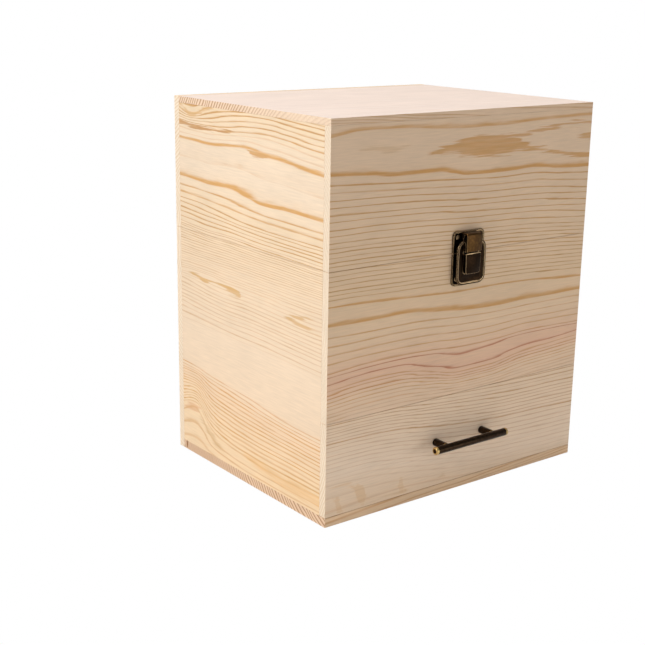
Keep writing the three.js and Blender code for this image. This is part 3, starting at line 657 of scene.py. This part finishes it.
def sawnPine(name, order):
    # a board whose figure follows from where it lay in the log
    look, own = sawnLook, sawnBoards.get(name, {})
    number = own.get("number", order)
    middle, axes = boardBox(name)
    board = {"start": own.get("origin", middle), "turn": (1, 1, 1), "axes": axes}
    board["log"] = own.get("log", anyLog(number))
    material, tree = startMaterial("sawnPine_" + name)
    shift = (look["apart"] * number, 0, 0)
    place = put(tree, "VectorMath", (boardPlace(tree, board), shift), operation="ADD")
    ring = logRing(tree, place, board["log"], look["uneven"])
    line = growthLines(tree, ring, look["rise"], look["fall"])
    streaks = grainNoise(tree, place, pineLook["streakSize"])
    weight = put(tree, "MULTIPLY_ADD", (streaks, look["weightByStreak"], look["weightLeast"]))
    amount = put(tree, "MULTIPLY", (line, weight), use_clamp=True)
    plain = (look["pales"][number % 3], look["darks"][number % 3])
    tones = own.get("tones", (plain, plain))
    faceColour, edgeColour = (
        put(tree, "Mix", {0: amount, 6: linear(pale), 7: linear(dark)}, data_type="RGBA")
        for pale, dark in tones
    )
    flat = {0: facing(tree, axes[2]), 6: edgeColour, 7: faceColour}
    colour = put(tree, "Mix", flat, data_type="RGBA")
    return finishPine(material, tree, place, colour, amount, board)


# Birch ply of three peeled veneers: creamy faces with short brown flecks and a wide contour
# figure, and edges with a darker middle layer. Veneer is the middle layer's millimetres
plyLook = {
    "face": "#EED8B4",
    "figure": "#D9B888",
    "fleck": "#C6A074",
    "edgePale": "#E6CDA6",
    "edgeDark": "#B98F60",
    "veneer": 1.0,
    "fleckFrom": 0.57,
    "fleckTo": 0.7,
    "fleckMost": 0.75,
    "fleckSize": (9, 0.9, 0.9),
    "contours": 9.0,
    "contourSize": (150, 16, 16),
    "contourRise": 3.0,
    "contourFall": 7.0,
    "contourMost": 0.5,
    "wave": 0.08,
    "waveSize": (120, 7, 7),
    "bump": 0.1,
    "bumpHeight": 0.2,
    "rough": 0.6,
}


def birchPly(name):
    look = plyLook
    middle, axes = boardBox(name)
    material, tree = startMaterial("birchPly_" + name)
    place = boardPlace(tree, {"start": middle, "turn": (1, 1, 1), "axes": axes})
    # peeled veneer: the knife ran along the rings and left them wide
    contour = grainNoise(tree, place, look["contourSize"], 1.0)
    rings = put(tree, "MULTIPLY", (contour, look["contours"]))
    bands = growthLines(tree, rings, look["contourRise"], look["contourFall"])
    banded = {
        0: put(tree, "MULTIPLY", (bands, look["contourMost"])),
        6: linear(look["face"]),
        7: linear(look["figure"]),
    }
    field = put(tree, "Mix", banded, data_type="RGBA")
    spots = {
        "Value": grainNoise(tree, place, look["fleckSize"], 1.0),
        "From Min": look["fleckFrom"],
        "From Max": look["fleckTo"],
        "To Max": look["fleckMost"],
    }
    flecked = {0: put(tree, "MapRange", spots), 6: field, 7: linear(look["fleck"])}
    face = put(tree, "Mix", flecked, data_type="RGBA")
    through = put(tree, "ABSOLUTE", (put(tree, "SeparateXYZ", (place,)).outputs[2],))
    inner = put(tree, "LESS_THAN", (through, look["veneer"] / 2))
    layers = {0: inner, 6: linear(look["edgePale"]), 7: linear(look["edgeDark"])}
    edge = put(tree, "Mix", layers, data_type="RGBA")
    both = put(tree, "Mix", {0: facing(tree, axes[2]), 6: edge, 7: face}, data_type="RGBA")
    waves = grainNoise(tree, place, look["waveSize"], 3.0)
    light = swayed(tree, 1.0, waves, look["wave"])
    relief = {"Strength": look["bump"], "Distance": look["bumpHeight"] * mm, "Height": waves}
    shader = put(tree, "BsdfPrincipled", {
        "Base Color": put(tree, "VectorMath", {0: both, 3: light}, operation="SCALE"),
        "Roughness": look["rough"],
        "Normal": put(tree, "Bump", relief),
        "IOR": pineLook["ior"],
    })
    put(tree, "OutputMaterial", (shader,))
    return material


# Antique bronze: brass plate darkened in a bath and rubbed, nearly black in its fields and
# gold on its edges. Edge is how far the rubbing reaches, in millimetres, and tip says where
# the pull's bar is rubbed bright on its chamfered ends, round a dimple
bronzeTones = {
    "antiqueBronze": {
        "field": "#20150C", "haze": "#2D1F13", "worn": "#F3CFA0",
        "edge": 1.25, "wear": 1.6, "rough": 0.36,
    },
    "rubbedBronze": {
        "field": "#4C351D", "haze": "#5F4525", "worn": "#F0CB94",
        "edge": 1.2, "wear": 1.2, "rough": 0.34,
    },
    "bronzePull": {
        "field": "#2C2017", "haze": "#3E2F21", "worn": "#E0BE7E",
        "edge": 1.0, "wear": 0.9, "rough": 0.32,
        "tip": {
            "axis": (-154, 57.3), "from": 46.6, "over": 0.9, "dimple": 2.1, "dimpleEdge": 0.4,
            "least": 0.1, "marks": 1.6,
        },
    },
    "agedBrass": {
        "field": "#6A5430", "haze": "#8C7244", "worn": "#C8A868",
        "edge": 0.3, "wear": 0.8, "rough": 0.32,
    },
}
metalLook = {
    "blotchScale": 400.0,  # patina blotches of about 2.5 mm
    "rubScale": 1700.0,  # rubbing marks of 0.6 mm
    "least": 0.4,
    "marks": 0.9,
    "turned": (0.01, 0.09),  # how far a face leans over an edge, where rubbing starts and ends
    "hollow": 2.0,  # hollows narrower than so many millimetres stay dark
    "open": (0.45, 0.8),
    "haze": (0.4, 0.7),
    "bump": 0.15,
    "bumpHeight": 0.05,
    "roughSpread": 0.12,
    "samples": 8,
}


def tipWear(tree, spot, rub, tip):
    parts = put(tree, "SeparateXYZ", (spot,)).outputs
    start, dimple = tip["from"], tip["dimple"]
    reach = put(tree, "ABSOLUTE", (parts["X"],))
    span = {"Value": reach, "From Min": start * mm, "From Max": (start + tip["over"]) * mm}
    beyond = put(tree, "MapRange", span)
    middle = put(tree, "CombineXYZ", (0.0, *[side * mm for side in tip["axis"]]))
    flat = put(tree, "CombineXYZ", (0.0, parts["Y"], parts["Z"]))
    away = put(tree, "VectorMath", (flat, middle), operation="DISTANCE")
    rim = (dimple + tip["dimpleEdge"]) * mm
    outside = put(tree, "MapRange", {"Value": away, "From Min": dimple * mm, "From Max": rim})
    bright = put(tree, "MULTIPLY", (beyond, outside))
    broken = put(tree, "MULTIPLY_ADD", (rub, tip["marks"], tip["least"]))
    return put(tree, "MULTIPLY", (bright, broken), use_clamp=True)


def rubbedMetal(name):
    tone, look = bronzeTones[name], metalLook
    material, tree = startMaterial(name)
    spot = put(tree, "TexCoord").outputs["Object"]
    blotch = put(tree, "TexNoise", {"Vector": spot, "Scale": look["blotchScale"], "Detail": 3.0})
    rub = put(tree, "TexNoise", {"Vector": spot, "Scale": look["rubScale"], "Detail": 2.0})
    # edges are found where a rounded normal leaves the face's own, and hollows by their shade
    normal = put(tree, "NewGeometry").outputs["Normal"]
    eased = put(tree, "Bevel", {"Radius": tone["edge"] * mm}, samples=look["samples"])
    agree = put(tree, "VectorMath", (eased, normal), operation="DOT_PRODUCT")
    turned = put(tree, "SUBTRACT", (1.0, agree))
    low, high = look["turned"]
    edge = {"Value": turned, "From Min": low, "From Max": high, "To Max": tone["wear"]}
    shade = {"Distance": look["hollow"] * mm}
    openness = put(tree, "AmbientOcclusion", shade, samples=look["samples"]).outputs["AO"]
    low, high = look["open"]
    clear = put(tree, "MapRange", {"Value": openness, "From Min": low, "From Max": high})
    reached = put(tree, "MULTIPLY", (put(tree, "MapRange", edge), clear))
    broken = put(tree, "MULTIPLY_ADD", (rub, look["marks"], look["least"]))
    wear = put(tree, "MULTIPLY", (reached, broken), use_clamp=True)
    if "tip" in tone:
        wear = put(tree, "MAXIMUM", (wear, tipWear(tree, spot, rub, tone["tip"])))
    low, high = look["haze"]
    haze = put(tree, "MapRange", {"Value": blotch, "From Min": low, "From Max": high})
    patina = {0: haze, 6: linear(tone["field"]), 7: linear(tone["haze"])}
    field = put(tree, "Mix", patina, data_type="RGBA")
    shown = {0: wear, 6: field, 7: linear(tone["worn"])}
    spread = look["roughSpread"]
    relief = {"Strength": look["bump"], "Distance": look["bumpHeight"] * mm, "Height": rub}
    shader = put(tree, "BsdfPrincipled", {
        "Base Color": put(tree, "Mix", shown, data_type="RGBA"),
        "Metallic": 1.0,
        "Roughness": put(tree, "MULTIPLY_ADD", (rub, spread, tone["rough"] - spread / 2)),
        "Normal": put(tree, "Bump", relief),
    })
    put(tree, "OutputMaterial", (shader,))
    return material


# Widths in millimetres, and the angles in degrees from which an edge is rounded, and from
# which it stays crisp in the shading
easedEdges = {
    "pine": 0.14,
    "metal": 0.45,
    "segments": 2,
    "easedFrom": 40,
    "crispFrom": 35,
    "joined": 0.01,
}


def makeRoundShading():
    # metal is shaded round wherever its faces meet at a small angle
    group = bpy.data.node_groups.new("roundShading", "GeometryNodeTree")
    for way in ("INPUT", "OUTPUT"):
        group.interface.new_socket("Geometry", in_out=way, socket_type="NodeSocketGeometry")
    enter, leave = group.nodes.new("NodeGroupInput"), group.nodes.new("NodeGroupOutput")
    faces, edges = (group.nodes.new("GeometryNodeSetShadeSmooth") for side in range(2))
    edges.domain = "EDGE"
    edges.inputs["Shade Smooth"].default_value = False
    angle = group.nodes.new("GeometryNodeInputMeshEdgeAngle")
    steep = group.nodes.new("FunctionNodeCompare")
    steep.data_type, steep.operation = "FLOAT", "GREATER_THAN"
    steep.inputs[1].default_value = math.radians(easedEdges["crispFrom"])
    for start, end in (
        (enter.outputs[0], faces.inputs[0]),
        (faces.outputs[0], edges.inputs[0]),
        (edges.outputs[0], leave.inputs[0]),
        (angle.outputs[0], steep.inputs[0]),
        (steep.outputs[0], edges.inputs["Selection"]),
    ):
        group.links.new(start, end)
    return group


def easeEdges(node, kind):
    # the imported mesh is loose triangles: joined first, then its sharp edges are rounded
    join = node.modifiers.new("join", "WELD")
    join.merge_threshold = easedEdges["joined"] * mm
    ease = node.modifiers.new("ease", "BEVEL")
    ease.width, ease.segments = easedEdges[kind] * mm, easedEdges["segments"]
    ease.limit_method, ease.angle_limit = "ANGLE", math.radians(easedEdges["easedFrom"])
    if kind == "metal":
        node.modifiers.new("shade", "NODES").node_group = roundShading


frontPine = chartedPine("planedPineFront", frontBoards)
drawerPine = chartedPine("planedPineDrawer", drawerBoard)
leftPine = chartedPine("planedPineLeft", leftBoards)
metals = {name: rubbedMetal(name) for name in bronzeTones}
roundShading = makeRoundShading()
charted = {
    "lid_front": frontPine,
    "base_front": frontPine,
    "drawer_front": drawerPine,
    "lid_left": leftPine,
    "base_left": leftPine,
}
for order, (name, node) in enumerate(sorted(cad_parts.items())):
    ply = "divider" in name or name.endswith(("floor", "shelf"))
    metal = name.startswith(("latch", "hinge", "pull"))
    if ply:
        finish = birchPly(name)
    elif name.endswith("_pin"):
        finish = metals["agedBrass"]
    elif name == "latch_tongue":
        finish = metals["rubbedBronze"]
    elif name.startswith("pull"):
        finish = metals["bronzePull"]
    elif metal:
        finish = metals["antiqueBronze"]
    else:
        finish = charted.get(name) or sawnPine(name, order)
    for place in node.material_slots:
        place.material = finish
    if not ply and not name.endswith("_pin"):
        easeEdges(node, "metal" if metal else "pine")
print("boards, plies and metals dressed,", len(bpy.data.materials), "materials")

# Wood screws with pan heads and a cross recess, in millimetres
screwLook = {
    "radius": 2.5,
    "height": 1.15,
    "slotHalf": 0.32,
    "crossReach": 1.5,
    "crossDepth": 0.55,
    "firstTurn": 0.3,
    "nextTurn": 1.7,
    "steps": 24,
    "joined": 0.002,
    "crownFrom": 0.1,  # share of the height over which a face belongs to the crown
    # shares of the radius and of the height, from the crown down to the plate and back in
    "profile": ((0, 1), (0.34, 0.985), (0.62, 0.86), (0.84, 0.6), (0.97, 0.25), (1, 0), (0, 0)),
}


def cutCross(head):
    # cuts the crown along the cross and sinks the faces inside it
    half, reach = screwLook["slotHalf"], screwLook["crossReach"]
    rim = screwLook["crownFrom"] * screwLook["height"]
    for axis in (Vector((1, 0, 0)), Vector((0, 1, 0))):
        for place in (half, -half, reach, -reach):
            everything = head.verts[:] + head.edges[:] + head.faces[:]
            middle = axis * place * mm
            bmesh.ops.bisect_plane(head, geom=everything, plane_co=middle, plane_no=axis)
    slots = []
    for face in head.faces:
        middle = face.calc_center_median() / mm
        near, far = sorted((abs(middle.x), abs(middle.y)))
        if middle.z > rim and near < half and far < reach:
            slots.append(face)
    pushed = bmesh.ops.extrude_face_region(head, geom=slots)
    sunk = [part for part in pushed["geom"] if isinstance(part, bmesh.types.BMVert)]
    bmesh.ops.translate(head, vec=(0, 0, -screwLook["crossDepth"] * mm), verts=sunk)
    bmesh.ops.delete(head, geom=slots, context="FACES_ONLY")


def screwHeads(name, spots, heading, body):
    # one head at each spot, set down on the plate and each turned its own way
    whole = bmesh.new()
    for spot in spots:
        head = bmesh.new()
        points = []
        for share, rise in screwLook["profile"]:
            outward, up = share * screwLook["radius"] * mm, rise * screwLook["height"] * mm
            points.append(head.verts.new((outward, 0, up)))
        edges = [head.edges.new(pair) for pair in zip(points, points[1:])]
        bmesh.ops.spin(
            head, geom=points + edges, axis=(0, 0, 1), cent=(0, 0, 0),
            steps=screwLook["steps"], angle=2 * math.pi, use_merge=True,
        )
        bmesh.ops.remove_doubles(head, verts=head.verts, dist=screwLook["joined"] * mm)
        cutCross(head)
        bmesh.ops.recalc_face_normals(head, faces=head.faces)
        tilt = Vector((0, 0, 1)).rotation_difference(Vector(heading)).to_matrix().to_4x4()
        angle = screwLook["firstTurn"] + screwLook["nextTurn"] * len(whole.verts)
        turn = Matrix.Rotation(angle, 4, "Z")
        seat = Matrix.Translation(Vector(spot) * mm) @ tilt @ turn
        bmesh.ops.transform(head, matrix=seat, verts=head.verts)
        mesh = bpy.data.meshes.new("oneHead")
        head.to_mesh(mesh)
        head.free()
        whole.from_mesh(mesh)
        bpy.data.meshes.remove(mesh)
    mesh = bpy.data.meshes.new(name)
    whole.to_mesh(mesh)
    whole.free()
    mesh.materials.append(metals["antiqueBronze"])
    piece = bpy.data.objects.new(name, mesh)
    bpy.context.scene.collection.objects.link(piece)
    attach(piece, body)


# Where the plates lie, in millimetres: the seam's height, and each screw's place from it
fittings = {
    "seam": 251.45,
    "latchFace": -136,
    "latchAcross": (-14.2, 14.2),
    "catchRise": 15.5,
    "baseRise": -26.45,
    "hingeFace": 136.5,
    "hingeMiddles": (("left", -100), ("right", 100)),
    "hingeAcross": (-12.5, 0, 12.5),
    "leafRise": 11.5,
}
seam, face = fittings["seam"], fittings["latchFace"]
for part, body, rise in (("catch", "lid", "catchRise"), ("base", "base", "baseRise")):
    spots = [(x, face, seam + fittings[rise]) for x in fittings["latchAcross"]]
    screwHeads(f"latch_{part}_screws", spots, (0, -1, 0), body)
for side, middle in fittings["hingeMiddles"]:
    for body, rise in (("lid", fittings["leafRise"]), ("base", -fittings["leafRise"])):
        across = fittings["hingeAcross"]
        spots = [(middle + x, fittings["hingeFace"], seam + rise) for x in across]
        screwHeads(f"hinge_{side}_{body}_screws", spots, (0, 1, 0), body)
print("screws set")

# A white studio: a large lamp to the left, a low one in front and one overhead, and a white
# card behind the box to its left, which only shines in polished things
studio = {
    "cameraPlace": (-0.8212, -0.9777, 0.4980),
    "azimuth": -37.338,
    "elevation": 15.406,
    "roll": 0.858,
    "lens": 67.266,
    "sensor": 36,
    "clip": (0.05, 50),
    "floorColour": "#F4F3F1",
    "floorSize": 30,
    "floorHeight": -0.0002,
    "worldStrength": 0.27,
    "cardHeading": (-0.64, 0.76, 0.0),
    "cardStrength": 2.6,
    "cardFrom": 0.3,
    "cardFull": 0.9,
    "aim": (0, 0, 0.18),
    "lamps": {
        "key": {"place": (-2.6, 0.05, 1.9), "size": 1.4, "power": 49},
        "fill": {"place": (1.3, -2.1, 0.16), "size": 0.7, "power": 6.5},
        "overhead": {"place": (0.1, 0.2, 2.4), "size": 1.6, "power": 24},
    },
}


def makeCamera():
    turn, tilt, roll = (math.radians(studio[k]) for k in ("azimuth", "elevation", "roll"))
    flat = math.cos(tilt)
    back = Vector((math.sin(turn) * flat, -math.cos(turn) * flat, math.sin(tilt)))
    right = (-back).cross(Vector((0, 0, 1))).normalized()
    up = right.cross(-back)
    rolledRight = right * math.cos(roll) + up * math.sin(roll)
    rolledUp = up * math.cos(roll) - right * math.sin(roll)
    camera = bpy.data.objects.new("camera", bpy.data.cameras.new("camera"))
    frameTurn = Matrix((rolledRight, rolledUp, back)).transposed().to_4x4()
    camera.matrix_world = Matrix.Translation(Vector(studio["cameraPlace"])) @ frameTurn
    camera.data.lens, camera.data.sensor_width = studio["lens"], studio["sensor"]
    camera.data.clip_start, camera.data.clip_end = studio["clip"]
    bpy.context.scene.collection.objects.link(camera)
    bpy.context.scene.camera = camera


def makeLamp(name, place, size, power):
    light = bpy.data.lights.new(name, "AREA")
    light.shape, light.size, light.energy = "DISK", size, power
    lamp = bpy.data.objects.new(name, light)
    lamp.location = place
    aim = Vector(studio["aim"]) - Vector(place)
    lamp.rotation_mode = "QUATERNION"
    lamp.rotation_quaternion = aim.to_track_quat("-Z", "Y")
    bpy.context.scene.collection.objects.link(lamp)


def makeFloor():
    # pale paper, which the camera sees as pure white
    lying = (0, 0, studio["floorHeight"])
    bpy.ops.mesh.primitive_plane_add(size=studio["floorSize"], location=lying)
    floor = bpy.context.object
    floor.name = "floor"
    material, tree = startMaterial("paperFloor")
    seenByCamera = put(tree, "LightPath").outputs["Is Camera Ray"]
    lit = put(tree, "BsdfDiffuse", {"Color": linear(studio["floorColour"])})
    white = put(tree, "Emission", {"Color": (1, 1, 1, 1), "Strength": 1.0})
    put(tree, "OutputMaterial", (put(tree, "MixShader", (seenByCamera, lit, white)),))
    floor.data.materials.append(material)


def makeWorld():
    world = bpy.data.worlds.new("studio")
    bpy.context.scene.world = world
    world.use_nodes = True
    sky = world.node_tree
    sky.nodes.clear()
    paths = put(sky, "LightPath").outputs
    dim, bright = studio["worldStrength"], studio["cardStrength"]
    heading = put(sky, "TexCoord").outputs["Generated"]
    toCard = put(sky, "VectorMath", (heading, studio["cardHeading"]), operation="DOT_PRODUCT")
    card = {"Value": toCard, "From Min": studio["cardFrom"], "From Max": studio["cardFull"]}
    shining = put(sky, "MapRange", {**card, "To Min": dim, "To Max": bright})
    lit = put(sky, "Mix", {0: paths["Is Glossy Ray"], 2: dim, 3: shining})
    strength = put(sky, "Mix", {0: paths["Is Camera Ray"], 2: lit, 3: 1.0})
    shade = put(sky, "Background", {"Color": (1, 1, 1, 1), "Strength": strength})
    put(sky, "OutputWorld", (shade,))


makeCamera()
makeFloor()
makeWorld()
for name, lamp in studio["lamps"].items():
    makeLamp(name, lamp["place"], lamp["size"], lamp["power"])
bpy.context.scene.view_settings.view_transform = "Standard"
print("camera, floor and lamps placed")
